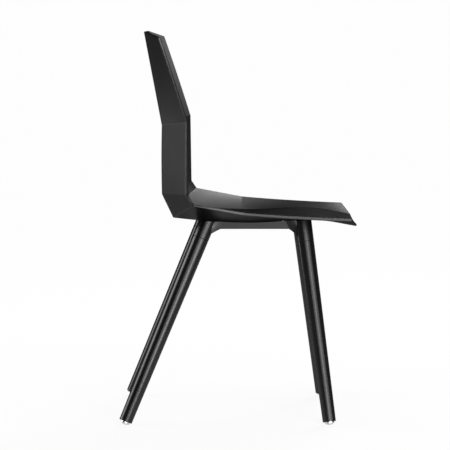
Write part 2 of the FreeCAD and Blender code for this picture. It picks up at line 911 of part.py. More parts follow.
def make_screw(name, kind, length):
    """A master screw that stands on its head, whose sizes start with kind."""
    head = f"Sizes.{kind}_head_diameter / 2"
    head_height = f"Sizes.{kind}_head_height"
    shank = f"Sizes.{kind}_diameter / 2"
    tip = f"{head_height} + {length}"
    profile = [
        ("0", "0"),
        (f"{CROWN_SHARE} * {head}", "0"),
        (head, f"{CROWN_HEIGHT_SHARE} * {head_height}"),
        (head, head_height),
        (shank, head_height),
        (shank, f"{tip} - {TIP_HEIGHT_SHARE} * Sizes.{kind}_diameter"),
        (f"{TIP_SHARE} * {shank}", tip),
        ("0", tip),
    ]
    body = turned_body(name, profile)
    document.recompute()
    solid_head = body.Shape.Volume
    key = body.newObject("Sketcher::SketchObject", name + "_key")
    plane = [item for item in body.Origin.OriginFeatures if item.Role == "XY_Plane"][0]
    key.AttachmentSupport = [(plane, "")]
    key.MapMode = "FlatFace"
    corner_radius = size(f"{kind}_key") / math.sqrt(3)
    hexagon = []
    for index in range(KEY_SIDES):
        angle = 2 * math.pi * index / KEY_SIDES
        hexagon.append(Vector(math.cos(angle), math.sin(angle), 0) * corner_radius)
    for index, start in enumerate(hexagon):
        key.addGeometry(Part.LineSegment(start, hexagon[(index + 1) % KEY_SIDES]), False)
    circle = key.addGeometry(Part.Circle(Vector(0, 0, 0), UP, corner_radius), True)
    for index in range(KEY_SIDES):
        following = (index + 1) % KEY_SIDES
        key.addConstraint(Sketcher.Constraint("Coincident", index, 2, following, 1))
        key.addConstraint(Sketcher.Constraint("PointOnObject", index, 1, circle))
        if index > 0:
            key.addConstraint(Sketcher.Constraint("Equal", 0, index))
    key.addConstraint(Sketcher.Constraint("Coincident", circle, 3, -1, 1))
    key.addConstraint(Sketcher.Constraint("PointOnObject", 0, 1, -1))
    radius = key.addConstraint(Sketcher.Constraint("Radius", circle, corner_radius))
    key.setExpression(f"Constraints[{radius}]", f"Sizes.{kind}_key / sqrt(3)")
    pocket = body.newObject("PartDesign::Pocket", name + "_socket")
    pocket.Profile = key
    pocket.Type = "Length"
    pocket.Reversed = True
    bind(pocket, Length=f"{KEY_DEPTH_SHARE} * {head_height}")
    body.Tip = pocket
    document.recompute()
    if body.Shape.Volume >= solid_head:
        raise RuntimeError(name + ": the key socket cuts nothing")
    return body


def upright(point):
    return Placement(point, Rotation())


def below_flange(points, depth):
    """The same places, a depth under the flanges."""
    return [upright(Vector(p.x, p.y, size("flange_bottom") - depth)) for p in points]


insert = ring("insert", "Sizes.insert_bore", "Sizes.insert_diameter", "Sizes.insert_length")
copies("shell_inserts", insert, [upright(point) for point in mount_points])
washer = ring(
    "washer",
    "Sizes.screw_hole",
    "Sizes.washer_diameter",
    "Sizes.washer_thickness",
)
copies("shell_washers", washer, below_flange(mount_points, size("washer_thickness")))
shell_screw = make_screw("shell_screw", "screw", "Sizes.screw_length")
head_depth = size("washer_thickness") + size("screw_head_height")
copies("shell_screws", shell_screw, below_flange(mount_points, head_depth))

rail_screw = make_screw("rail_screw", "screw", "Sizes.rail_screw_length")
rail_points = rail_screw_points(0)
rail_points += [opposite(point) for point in rail_points]
copies("rail_screws", rail_screw, below_flange(rail_points, size("screw_head_height")))

leg_bolt = make_screw("leg_bolt", "bolt", "Sizes.bolt_length")
bolt_washer = ring(
    "bolt_washer",
    "Sizes.bolt_hole_diameter",
    "Sizes.bolt_washer_diameter",
    "Sizes.bolt_washer_thickness",
)
web_top = size("socket_bore_depth") + size("socket_web")
head_top = web_top + size("bolt_washer_thickness") + size("bolt_head_height")
upside_down = Placement(Vector(0, 0, 0), Rotation(SIDEWAYS, 180))
copies("leg_washers", bolt_washer, [along_leg(side, end, web_top) for side, end in corners])
copies(
    "leg_bolts",
    leg_bolt,
    [along_leg(side, end, head_top) * upside_down for side, end in corners],
)

# Nothing is written unless every object is sound.
document.recompute()
for item in document.Objects:
    if "Invalid" in item.State or "Error" in item.State:
        raise RuntimeError(f"{item.Label} failed: {item.State}")
for piece in pieces:
    if piece.Shape.isNull() or not piece.Shape.isValid() or not piece.Shape.Solids:
        raise RuntimeError(f"{piece.Label} has no valid solid")
os.makedirs("parts", exist_ok=True)
for piece in pieces:
    piece.Shape.exportStep(f"parts/{piece.Label}.step")
    print(f"{piece.Label}: {len(piece.Shape.Solids)} solid(s), {piece.Shape.Volume:.0f} mm3")
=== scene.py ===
import json
import math

import bmesh
import bpy
import numpy as np
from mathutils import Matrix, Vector


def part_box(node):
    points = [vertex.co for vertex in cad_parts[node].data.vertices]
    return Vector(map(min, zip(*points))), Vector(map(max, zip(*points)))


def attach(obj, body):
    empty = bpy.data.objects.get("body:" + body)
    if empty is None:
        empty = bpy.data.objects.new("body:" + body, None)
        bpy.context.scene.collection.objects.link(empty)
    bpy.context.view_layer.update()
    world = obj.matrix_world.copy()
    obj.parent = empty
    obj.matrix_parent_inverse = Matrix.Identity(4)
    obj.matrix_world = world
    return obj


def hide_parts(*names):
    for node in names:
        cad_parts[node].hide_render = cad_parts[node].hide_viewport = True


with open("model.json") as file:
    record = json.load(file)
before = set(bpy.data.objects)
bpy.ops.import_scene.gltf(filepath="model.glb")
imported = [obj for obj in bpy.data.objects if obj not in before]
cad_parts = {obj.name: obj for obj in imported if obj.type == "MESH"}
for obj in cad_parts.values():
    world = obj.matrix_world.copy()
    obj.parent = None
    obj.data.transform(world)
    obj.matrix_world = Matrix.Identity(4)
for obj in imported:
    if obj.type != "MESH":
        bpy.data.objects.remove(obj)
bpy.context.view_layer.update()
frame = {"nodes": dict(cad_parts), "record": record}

nodes = frame["nodes"]
MM = 0.001
UP = np.array((0.0, 0.0, 1.0))
SIDES = {"left": 1, "right": -1}
ENDS = ("front", "rear")

# Camera
# Fitted to the photograph, in metres and degrees.
CAMERA_PLACE = (-5.46, 0.0288, 0.8615)
CAMERA_DOWN = 4.7515
LENS = 200.0
SENSOR = 36.0
CLIP_END = 100.0

camera_data = bpy.data.cameras.new("camera")
camera_data.lens = LENS
camera_data.sensor_width = SENSOR
camera_data.clip_end = CLIP_END
camera = bpy.data.objects.new("camera", camera_data)
camera.location = CAMERA_PLACE
camera.rotation_euler = (math.radians(90.0 - CAMERA_DOWN), 0.0, math.radians(-90.0))
bpy.context.scene.collection.objects.link(camera)
bpy.context.scene.camera = camera
bpy.context.scene.view_settings.view_transform = "Standard"

# Shell
# From here to the castings, lengths are in millimetres. Corners are (half width, back from the
# lip, up from the seat), from the crown of the back down to the lip. Creases bound the middle
# panels and rims the wings.
SEAT_HEIGHT = 431.3
WALL = 6.0
LIP_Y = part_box("seat_shell")[0].y / MM
CREASE = [(85.0, 449.8, 400.5), (106.0, 411.0, 199.6), (140.0, 410.2, 55.5),
          (150.0, 388.0, 10.3), (150.0, 243.5, 0.0), (137.0, 0.0, -9.8)]
RIM = [(174.0, 417.9, 388.2), (194.0, 358.9, 209.1), (234.5, 357.3, 59.2),
       (252.0, 346.0, 41.3), (243.5, 243.5, 22.4), (235.2, 15.2, 8.8)]
# The wall at each corner.
RIM_WALL_SHARES = (1.0, 0.95, 1.35, 0.95, 1.05, 1.0)
CREASE_WALL_SHARES = (1.0, 1.0, 1.0, 1.0, 1.0, 0.8)
# The runs between corners that aren't straight, by number from the crown, and their bows.
UPPER_BACK, MIDDLE_BACK, REAR_SEAT, FRONT_SEAT = 0, 1, 3, 4
UPPER_RIM_BOW = -0.9
MIDDLE_BACK_BOW = 1.0
REAR_SEAT_BOW = 1.9
HUMP_BACK = 97.0
HUMP_RISE = 4.6
LIP_DISH = 3.0
FRONT_RIM_SAG = 1.6
# The front crease: (way, rise) from the fold up to the hump, then (way, fall, dish) to the lip.
RISE_SHARES = ((0.5, 0.48), (1.0, 1.0))
FALL_SHARES = ((0.4, 0.24, 0.3), (0.77, 0.71, 0.75))


def corner(half, back, rise):
    return np.array((half, LIP_Y + back, SEAT_HEIGHT + rise))


def unit(vector):
    return vector / np.linalg.norm(vector)


def mid_point(start, end, bow):
    outward = unit(np.cross((1.0, 0.0, 0.0), end - start))
    return (start + end) / 2 + outward * bow


crease_corners = [corner(*values) for values in CREASE]
rim_corners = [corner(*values) for values in RIM]


def front_crease():
    """Points between the front fold and the lip, each with its share of the dish."""
    fold, lip = crease_corners[FRONT_SEAT], crease_corners[-1]
    run = CREASE[FRONT_SEAT][1]
    points = []
    for way, rise in RISE_SHARES:
        back = run - (run - HUMP_BACK) * way
        half = lip[0] + (fold[0] - lip[0]) * back / run
        points.append((corner(half, back, HUMP_RISE * rise), 0.0))
    for way, fall, dish in FALL_SHARES:
        back = HUMP_BACK * (1 - way)
        half = lip[0] + (fold[0] - lip[0]) * back / run
        drop = (HUMP_RISE - CREASE[-1][2]) * fall
        points.append((corner(half, back, HUMP_RISE - drop), dish))
    return points


crease_runs = []
rim_runs = []
for index in range(len(CREASE) - 1):
    crease_run = [crease_corners[index], crease_corners[index + 1]]
    rim_run = [rim_corners[index], rim_corners[index + 1]]
    if index == UPPER_BACK:
        rim_run.insert(1, mid_point(*rim_run, UPPER_RIM_BOW))
    if index == MIDDLE_BACK:
        crease_run.insert(1, mid_point(*crease_run, MIDDLE_BACK_BOW))
    if index == REAR_SEAT:
        crease_run.insert(1, mid_point(*crease_run, REAR_SEAT_BOW))
    if index == FRONT_SEAT:
        crease_run[1:1] = [point for point, dish in front_crease()]
        rim_run.insert(1, mid_point(*rim_run, FRONT_RIM_SAG))
    crease_runs.append(crease_run)
    rim_runs.append(rim_run)
DISH_SHARES = [0.0] + [dish for point, dish in front_crease()] + [1.0]


def outer_runs(runs, partners, walls, flat_middle):
    """The same runs on the outer face, one wall away."""
    points = []
    for number, run in enumerate(runs):
        for step, point in enumerate(run[:-1]):
            share = step / (len(run) - 1)
            partner = partners[number] + (partners[number + 1] - partners[number]) * share
            wall = walls[number] + (walls[number + 1] - walls[number]) * share
            points.append((point, partner, wall))
    points.append((runs[-1][-1], partners[-1], walls[-1]))
    moved = []
    for index, (point, partner, wall) in enumerate(points):
        across = partner - point if partner[0] > point[0] else point - partner
        normals = []
        for other in (index - 1, index + 1):
            if 0 <= other < len(points):
                along = (points[other][0] - point) * (other - index)
                normals.append(unit(np.cross(across, along)))
                if flat_middle:
                    normals.append(unit(np.cross((1.0, 0.0, 0.0), along)))
        mean = unit(sum(normals))
        spread = sum(float(mean @ normal) for normal in normals) / len(normals)
        moved.append(point + mean * (wall / spread))
    result = []
    first = 0
    for run in runs:
        result.append(moved[first:first + len(run)])
        first += len(run) - 1
    return result


outer_crease = outer_runs(
    crease_runs, rim_corners, [WALL * share for share in CREASE_WALL_SHARES], True
)
outer_rim = outer_runs(
    rim_runs, crease_corners, [WALL * share for share in RIM_WALL_SHARES], False
)


def sample(points, shares):
    """Points along a line, an arc through three points, or a smooth curve."""
    points = np.array(points)
    if len(points) == 2:
        return [points[0] + (points[1] - points[0]) * s for s in shares]
    steps = np.linalg.norm(np.diff(points, axis=0), axis=1)
    knots = np.concatenate(([0.0], np.cumsum(steps))) / steps.sum()
    if len(points) == 3:
        result = []
        for s in shares:
            weights = [
                math.prod(
                    (s - knots[j]) / (knots[i] - knots[j]) for j in range(3) if j != i
                )
                for i in range(3)
            ]
            result.append(sum(w * p for w, p in zip(weights, points)))
        return result
    return list(spline(knots, points, np.array(shares)))


def spline(knots, values, at):
    """Natural cubic spline."""
    values = np.asarray(values, float)
    if values.ndim == 1:
        values = values[:, None]
    n = len(knots)
    step = np.diff(knots)
    matrix = np.zeros((n, n))
    right = np.zeros((n, values.shape[1]))
    matrix[0, :3] = (step[1], -(step[0] + step[1]), step[0])
    matrix[-1, -3:] = (step[-1], -(step[-2] + step[-1]), step[-2])
    for i in range(1, n - 1):
        matrix[i, i - 1:i + 2] = (step[i - 1], 2 * (step[i - 1] + step[i]), step[i])
        slope = (values[i + 1] - values[i]) / step[i] - (values[i] - values[i - 1]) / step[i - 1]
        right[i] = 6 * slope
    second = np.linalg.solve(matrix, right)
    place = np.clip(np.searchsorted(knots, at, side="right") - 1, 0, n - 2)
    a = (knots[place + 1] - at) / step[place]
    b = 1 - a
    return (
        a[:, None] * values[place] + b[:, None] * values[place + 1]
        + ((a**3 - a)[:, None] * second[place] + (b**3 - b)[:, None] * second[place + 1])
        * (step[place]**2)[:, None] / 6
    )


# Steps along each run, across a wing and across a middle panel.
RUN_STEPS = (20, 16, 8, 14, 34)
WING_STEPS = 10
MIDDLE_STEPS = 20


def skin_rows(creases, rims):
    """Rows of points across the shell, from its crown to its lip, and each fold's row."""
    rows = []
    folds = []
    for number, (crease, rim) in enumerate(zip(creases, rims)):
        steps = RUN_STEPS[number]
        first = 0 if number == 0 else 1
        shares = [i / steps for i in range(first, steps + 1)]
        crease_points = sample(crease, shares)
        rim_points = sample(rim, shares)
        dishes = [0.0] * len(shares)
        if len(crease) > 3:
            spans = np.linalg.norm(np.diff(np.array(crease), axis=0), axis=1)
            knots = np.concatenate(([0.0], np.cumsum(spans))) / spans.sum()
            dishes = spline(knots, DISH_SHARES, np.array(shares))[:, 0] * LIP_DISH
        for c, r, dish in zip(crease_points, rim_points, dishes):
            half = []
            for i in range(WING_STEPS):
                half.append(r + (c - r) * i / WING_STEPS)
            middle = []
            for i in range(MIDDLE_STEPS + 1):
                across = 1 - 2 * i / MIDDLE_STEPS
                middle.append(np.array((c[0] * across, c[1], c[2] - dish * (1 - across**2))))
            mirrored = [np.array((-p[0], p[1], p[2])) for p in reversed(half)]
            rows.append(half + middle + mirrored)
        folds.append(len(rows) - 1)
    return np.array(rows), folds[:-1]


inner, folds = skin_rows(crease_runs, rim_runs)
outer, folds = skin_rows(outer_crease, outer_rim)
row_count, column_count = inner.shape[:2]
CREASE_COLUMNS = (WING_STEPS, WING_STEPS + MIDDLE_STEPS)
FOLD_RADIUS = 1.3
RIM_RADIUS = 1.6
RIM_SEGMENTS = 4


def new_object(name, mesh):
    item = bpy.data.objects.new(name, mesh)
    bpy.context.scene.collection.objects.link(item)
    return item


def make_shell():
    shell = bmesh.new()
    weight = shell.edges.layers.float.new("bevel_weight_edge")
    grids = []
    for points in (inner, outer):
        grids.append([[shell.verts.new(Vector(p) * MM) for p in row] for row in points])
    top, under = grids
    for r in range(row_count - 1):
        for c in range(column_count - 1):
            shell.faces.new((top[r][c], top[r][c + 1], top[r + 1][c + 1], top[r + 1][c]))
            shell.faces.new(
                (under[r][c], under[r + 1][c], under[r + 1][c + 1], under[r][c + 1])
            )
    for r in range(row_count - 1):
        for c in (0, column_count - 1):
            shell.faces.new((top[r][c], top[r + 1][c], under[r + 1][c], under[r][c]))
    for c in range(column_count - 1):
        for r in (0, row_count - 1):
            shell.faces.new((top[r][c], top[r][c + 1], under[r][c + 1], under[r][c]))
    bmesh.ops.recalc_face_normals(shell, faces=shell.faces)
    fold_edges = []
    rim_edges = []
    for grid in grids:
        for r in range(row_count):
            for c in range(column_count):
                if r + 1 < row_count:
                    edge = shell.edges.get((grid[r][c], grid[r + 1][c]))
                    if c in (0, column_count - 1):
                        rim_edges.append(edge)
                    elif c in CREASE_COLUMNS:
                        fold_edges.append(edge)
                if c + 1 < column_count:
                    edge = shell.edges.get((grid[r][c], grid[r][c + 1]))
                    if r in (0, row_count - 1):
                        rim_edges.append(edge)
                    elif r in folds:
                        fold_edges.append(edge)
    for c in (0, column_count - 1):
        for r in [0, row_count - 1] + folds:
            fold_edges.append(shell.edges.get((top[r][c], under[r][c])))
    for edge in fold_edges:
        edge[weight] = FOLD_RADIUS / RIM_RADIUS
    for edge in rim_edges:
        edge[weight] = 1.0
    mesh = bpy.data.meshes.new("seat_shell_moulding")
    shell.to_mesh(mesh)
    shell.free()
    mesh.shade_smooth()
    item = new_object("seat_shell_moulding", mesh)
    rounding = item.modifiers.new("rounding", "BEVEL")
    rounding.limit_method = "WEIGHT"
    rounding.width = RIM_RADIUS * MM
    rounding.segments = RIM_SEGMENTS
    rounding.harden_normals = False
    rounding.use_clamp_overlap = True
    return item


# Mesh tools
# Edges that bend more than this stay hard.
SHARP_ANGLE = math.radians(38.0)
CORNER_STEPS = 4
TURNED_SIDES = 96
SMALL_SIDES = 40
BORE_SIDES = 64
NORMAL_WEIGHT = 50
TURNING = "turning"


def rounded(points, radii):
    """A closed outline with its corners rounded, one radius each."""
    result = []
    count = len(points)
    for index, radius in enumerate(radii):
        here = np.array(points[index], float)
        if radius <= 0:
            result.append(tuple(here))
            continue
        before = unit(np.array(points[index - 1], float) - here)
        after = unit(np.array(points[(index + 1) % count], float) - here)
        half = math.acos(max(-1.0, min(1.0, float(before @ after)))) / 2
        middle = here + unit(before + after) * (radius / math.sin(half))
        start = here + before * (radius / math.tan(half)) - middle
        end = here + after * (radius / math.tan(half)) - middle
        sweep = math.pi - 2 * half
        for step in range(CORNER_STEPS + 1):
            share = step / CORNER_STEPS
            a = math.sin((1 - share) * sweep) / math.sin(sweep)
            b = math.sin(share * sweep) / math.sin(sweep)
            result.append(tuple(middle + start * a + end * b))
    return result


def turned(name, profile, base, direction, sides=TURNED_SIDES):
    """A closed outline of (radius, height) spun about a leaning axis through base."""
    x_axis = unit(np.cross((0.0, 1.0, 0.0), direction))
    y_axis = np.cross(direction, x_axis)
    mesh = bmesh.new()
    turning = mesh.verts.layers.float_vector.new(TURNING)
    rings = []
    for radius, height in profile:
        count = 1 if radius == 0 else sides
        ring = []
        for k in range(count):
            angle = 2 * math.pi * k / sides
            own = np.array((math.cos(angle) * radius, math.sin(angle) * radius, height))
            point = base + x_axis * own[0] + y_axis * own[1] + direction * own[2]
            vertex = mesh.verts.new(Vector(point) * MM)
            vertex[turning] = Vector(own) * MM
            ring.append(vertex)
        rings.append(ring)
    for index, ring in enumerate(rings):
        other = rings[(index + 1) % len(rings)]
        if len(ring) == 1 and len(other) == 1:
            continue
        for k in range(sides):
            after = (k + 1) % sides
            corners = [ring[k % len(ring)], ring[after % len(ring)],
                       other[after % len(other)], other[k % len(other)]]
            mesh.faces.new(list(dict.fromkeys(corners)))
    return finish_mesh(name, mesh)


def prism(name, outline, place, sweep):
    """A flat outline pulled along a vector; place turns its pairs into points."""
    mesh = bmesh.new()
    near = [mesh.verts.new(Vector(place(a, b)) * MM) for a, b in outline]
    far = [mesh.verts.new(Vector(place(a, b) + sweep) * MM) for a, b in outline]
    mesh.faces.new(near)
    mesh.faces.new(far)
    for index in range(len(near)):
        after = (index + 1) % len(near)
        mesh.faces.new((near[index], near[after], far[after], far[index]))
    return finish_mesh(name, mesh)


def finish_mesh(name, mesh):
    bmesh.ops.recalc_face_normals(mesh, faces=mesh.faces)
    data = bpy.data.meshes.new(name)
    mesh.to_mesh(data)
    mesh.free()
    return new_object(name, data)


def combine(item, operands, operation):
    """Join pieces into one mesh, or cut them out of it; the operands are used up."""
    for operand in operands:
        step = item.modifiers.new("combine", "BOOLEAN")
        step.operation = operation
        step.solver = "MANIFOLD"
        step.object = operand
    depsgraph = bpy.context.evaluated_depsgraph_get()
    result = bpy.data.meshes.new_from_object(item.evaluated_get(depsgraph))
    item.modifiers.clear()
    item.data = result
    result.name = item.name
    for operand in operands:
        bpy.data.objects.remove(operand)


def smooth(item):
    """Smooth shading that keeps flat faces flat and hard edges hard."""
    item.data.shade_smooth()
    item.data.set_sharp_from_angle(angle=SHARP_ANGLE)
    normals = item.modifiers.new("normals", "WEIGHTED_NORMAL")
    normals.keep_sharp = True
    normals.weight = NORMAL_WEIGHT


def stand_for(item, node, slot_name):
    """Put a finished piece in a node's place."""
    smooth(item)
    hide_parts(node)
    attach(item, "root")
    fine_pieces.append((item, slot_name))


fine_pieces = []

# Seat shell with its bosses
MOUNT_HALF = 124.0
MOUNT_BACK = {"front": 147.0, "rear": 289.0}
BOSS_FACE = 421.0
BOSS_RADIUS = 9.0
BOSS_DEPTH_IN_WALL = 7.5
BOSS_EDGE = 0.6
INSERT_HOLE_RADIUS = 4.2
INSERT_HOLE_DEPTH = 9.5
INSERT_HOLE_OVERRUN = 1.0

shell = make_shell()
bosses = []
insert_holes = []
for end in ENDS:
    for side, sign in SIDES.items():
        foot = np.array((sign * MOUNT_HALF, LIP_Y + MOUNT_BACK[end], BOSS_FACE))
        outline = [(0.0, 0.0), (BOSS_RADIUS, 0.0), (BOSS_RADIUS, BOSS_DEPTH_IN_WALL),
                   (0.0, BOSS_DEPTH_IN_WALL)]
        bosses.append(turned(f"boss_{end}_{side}", rounded(outline, (0, BOSS_EDGE, 0, 0)),
                             foot, UP, SMALL_SIDES))
        below = foot - UP * INSERT_HOLE_OVERRUN
        depth = INSERT_HOLE_DEPTH + INSERT_HOLE_OVERRUN
        hole = [(0.0, 0.0), (INSERT_HOLE_RADIUS, 0.0), (INSERT_HOLE_RADIUS, depth), (0.0, depth)]
        insert_holes.append(turned(f"hole_{end}_{side}", hole, below, UP, SMALL_SIDES))
combine(shell, bosses, "UNION")
combine(shell, insert_holes, "DIFFERENCE")
stand_for(shell, "seat_shell", "shell_plastic")

# Legs, glides and sockets
SEAM_HALF = {"front": 143.0, "rear": 142.0}
SEAM_BACK = {"front": 109.6, "rear": 334.1}
SEAM_HEIGHT = {"front": 383.8, "rear": 391.1}
SPLAY = math.tan(math.radians(10.3))
RAKE = {"front": math.tan(math.radians(7.45)), "rear": -math.tan(math.radians(22.45))}
LEG_SEAM_RADIUS = 18.0
LEG_FOOT_RADIUS = 14.0
FOOT_EDGE = 0.5
SEAM_EDGE = 0.8
TENON_RADIUS = 12.0
TENON_LENGTH = 22.0
BUSH_RADIUS = 6.1
BUSH_LENGTH = 20.0
BOLT_HOLE_RADIUS = 4.3
BOLT_HOLE_DEPTH = 26.0
NAIL_HOLE_RADIUS = 1.6
NAIL_HOLE_DEPTH = 17.2
GLIDE_RADIUS = 10.5
DOME_RADIUS = 17.0
GLIDE_STAND = 6.7
GLIDE_WEAR = 0.3
GLIDE_EDGE = 0.6
DOME_STEPS = 14
DOME_CENTRE = DOME_RADIUS - GLIDE_STAND
SOCKET_HEIGHT = 60.0
SOCKET_TOP_RADIUS = 18.6
SOCKET_BORE_DEPTH = 22.5
SOCKET_WEB = 6.0
SOCKET_RECESS_RADIUS = 8.5
TENON_CLEARANCE = 0.1
CUT_OVERRUN = 5.0


def leg_axis(side, end):
    """The seam's middle and the unit vector up the leg."""
    sign = SIDES[side]
    seam = np.array((sign * SEAM_HALF[end], LIP_Y + SEAM_BACK[end], SEAM_HEIGHT[end]))
    return seam, unit(np.array((-sign * SPLAY, RAKE[end], 1.0)))


def leg_length(end):
    """From the seam to the glide, which stands worn flat on the floor."""
    lean = math.sqrt(1 + SPLAY**2 + RAKE[end]**2)
    foot_height = DOME_RADIUS - GLIDE_WEAR - DOME_CENTRE / lean
    return (SEAM_HEIGHT[end] - foot_height) * lean


def make_leg(side, end):
    seam, direction = leg_axis(side, end)
    length = leg_length(end)
    top = length + TENON_LENGTH
    profile = [
        (NAIL_HOLE_RADIUS, 0), (LEG_FOOT_RADIUS, 0), (LEG_SEAM_RADIUS, length),
        (TENON_RADIUS, length), (TENON_RADIUS, top), (BUSH_RADIUS, top),
        (BUSH_RADIUS, top - BUSH_LENGTH), (BOLT_HOLE_RADIUS, top - BUSH_LENGTH),
        (BOLT_HOLE_RADIUS, top - BOLT_HOLE_DEPTH), (0, top - BOLT_HOLE_DEPTH),
        (0, NAIL_HOLE_DEPTH), (NAIL_HOLE_RADIUS, NAIL_HOLE_DEPTH),
    ]
    radii = [0, FOOT_EDGE, SEAM_EDGE] + [0] * (len(profile) - 3)
    leg = turned(f"turned_leg_{end}_{side}", rounded(profile, radii),
                 seam - direction * length, direction)
    stand_for(leg, f"leg_{end}_{side}", "leg_lacquer")


def make_glide(side, end):
    """A domed button, worn flat where it stands on the floor."""
    seam, direction = leg_axis(side, end)
    foot = seam - direction * leg_length(end)
    dome = []
    for step in range(DOME_STEPS + 1):
        radius = GLIDE_RADIUS + (NAIL_HOLE_RADIUS - GLIDE_RADIUS) * step / DOME_STEPS
        dome.append((radius, DOME_CENTRE - math.sqrt(DOME_RADIUS**2 - radius**2)))
    profile = [(NAIL_HOLE_RADIUS, 0), (GLIDE_RADIUS, 0)] + dome
    radii = [0, 0, GLIDE_EDGE] + [0] * (len(dome) - 1)
    glide = turned(f"domed_glide_{end}_{side}", rounded(profile, radii), foot, direction)
    mesh = bmesh.new()
    mesh.from_mesh(glide.data)
    cut = bmesh.ops.bisect_plane(
        mesh, geom=list(mesh.verts) + list(mesh.edges) + list(mesh.faces),
        plane_co=(0, 0, 0), plane_no=(0, 0, -1), clear_outer=True,
    )
    rim = [edge for edge in cut["geom_cut"] if isinstance(edge, bmesh.types.BMEdge)]
    bmesh.ops.holes_fill(mesh, edges=rim, sides=0)
    bmesh.ops.recalc_face_normals(mesh, faces=mesh.faces)
    mesh.to_mesh(glide.data)
    mesh.free()
    stand_for(glide, f"glide_{end}_{side}", "glide_nickel")


for end in ENDS:
    for side in SIDES:
        make_leg(side, end)
        make_glide(side, end)

# Side castings
CASTING_HALF = 146.0
CASTING_INNER_HALF = 141.0
CASTING_BOTTOM = 411.2
FLANGE_INNER_HALF = 110.0
FLANGE_TOP = 419.0
FLANGE_BOTTOM = 415.0
SHELL_CLEARANCE = 0.5
# Roundings at the eight corners of the beam and flange, from the beam's outer foot.
CASTING_EDGES = (0.8, 0, 0, 0, 1.0, 1.0, 1.2, 0.8)
# The seat's space, cut from both castings: height, sideways start and length, and steps
# along the rear and front seat.
SPACE_TOP = 500.0
SPACE_START = 90.0
SPACE_LENGTH = 90.0
SPACE_STEPS = (12, 30)
SCREW_HOLE_RADIUS = 3.3
SCREW_HOLE_CUT = 14.0
RAIL_BACK = {"front": 178.0, "rear": 257.0}
RAIL_SCREW_HALF = 126.0
RAIL_SCREW_STEP = 9.0
# The crease where each gusset leaves the beam: places behind the lip at two heights.
CREASE_HEIGHTS = (411.2, 426.0)
GUSSET_CREASE = {"front": (145.1, 151.5), "rear": (291.2, 282.7)}
# Turns away from straight outwards, in degrees, where a gusset leaves the beam and where it
# meets its socket.
GUSSET_LEAVES = 9.0
GUSSET_MEETS = 47.0
GUSSET_ROOT_HALF = 143.0
GUSSET_TOP = 433.5
# How far a gusset's lower edge falls per millimetre from the beam.
GUSSET_FALLS = {"front": 0.85, "rear": 0.6}
GUSSET_SINK = 0.1
BEAM_TOP = 434.0
GUSSET_STEPS = 16
# A crease runs between the beam's flat face, known by its normal and its place, and a face that
# turns away by 4 to 30 degrees.
FLAT_SHARE = 0.99995
FLAT_HALF = CASTING_HALF * 0.999
CREASE_BENDS = (4.0, 30.0)


def socket_blank(side, end):
    """The socket without its bores."""
    seam, direction = leg_axis(side, end)
    outline = [(0, 0), (LEG_SEAM_RADIUS, 0), (SOCKET_TOP_RADIUS, SOCKET_HEIGHT),
               (0, SOCKET_HEIGHT)]
    return turned(f"socket_{end}_{side}", rounded(outline, (0, SEAM_EDGE, 0, 0)), seam, direction)


def socket_bores(side, end):
    """The tenon's bore from below, the bolt's hole, and the recess for its head."""
    seam, direction = leg_axis(side, end)
    web_top = SOCKET_BORE_DEPTH + SOCKET_WEB
    top = SOCKET_HEIGHT + CUT_OVERRUN
    tenon = TENON_RADIUS + TENON_CLEARANCE
    profile = [
        (0, -CUT_OVERRUN), (tenon, -CUT_OVERRUN), (tenon, SOCKET_BORE_DEPTH),
        (BOLT_HOLE_RADIUS, SOCKET_BORE_DEPTH), (BOLT_HOLE_RADIUS, web_top),
        (SOCKET_RECESS_RADIUS, web_top), (SOCKET_RECESS_RADIUS, top), (0, top),
    ]
    return turned(f"bore_{end}_{side}", profile, seam, direction, BORE_SIDES)


def gusset_point(sign, end, share, height):
    """A point on a gusset's outer face, by its share of the way to the socket."""
    seam, direction = leg_axis("left", end)
    low, high = CREASE_HEIGHTS
    at_low, at_high = GUSSET_CREASE[end]
    crease_back = at_low + (at_high - at_low) * (height - low) / (high - low)
    start = np.array((CASTING_HALF - GUSSET_SINK, LIP_Y + crease_back))
    rise = (height - seam[2]) / direction[2]
    centre = (seam + direction * rise)[:2]
    radius = LEG_SEAM_RADIUS + (SOCKET_TOP_RADIUS - LEG_SEAM_RADIUS) * rise / SOCKET_HEIGHT
    way = 1.0 if end == "front" else -1.0
    long_radius = radius / abs(math.cos(math.atan(RAKE[end])))
    turn = math.radians(GUSSET_MEETS)
    finish = centre + np.array((radius * math.cos(turn), way * long_radius * math.sin(turn)))
    finish_way = unit(np.array((-radius * math.sin(turn), way * long_radius * math.cos(turn))))
    leave = math.radians(GUSSET_LEAVES)
    start_way = np.array((math.sin(leave), -way * math.cos(leave)))
    # Where the two tangents cross.
    matrix = np.array((start_way, -finish_way)).T
    reach = np.linalg.solve(matrix, finish - start)[0]
    middle = start + start_way * reach
    flat = start * (1 - share)**2 + middle * 2 * share * (1 - share) + finish * share**2
    return np.array((sign * flat[0], flat[1], height))


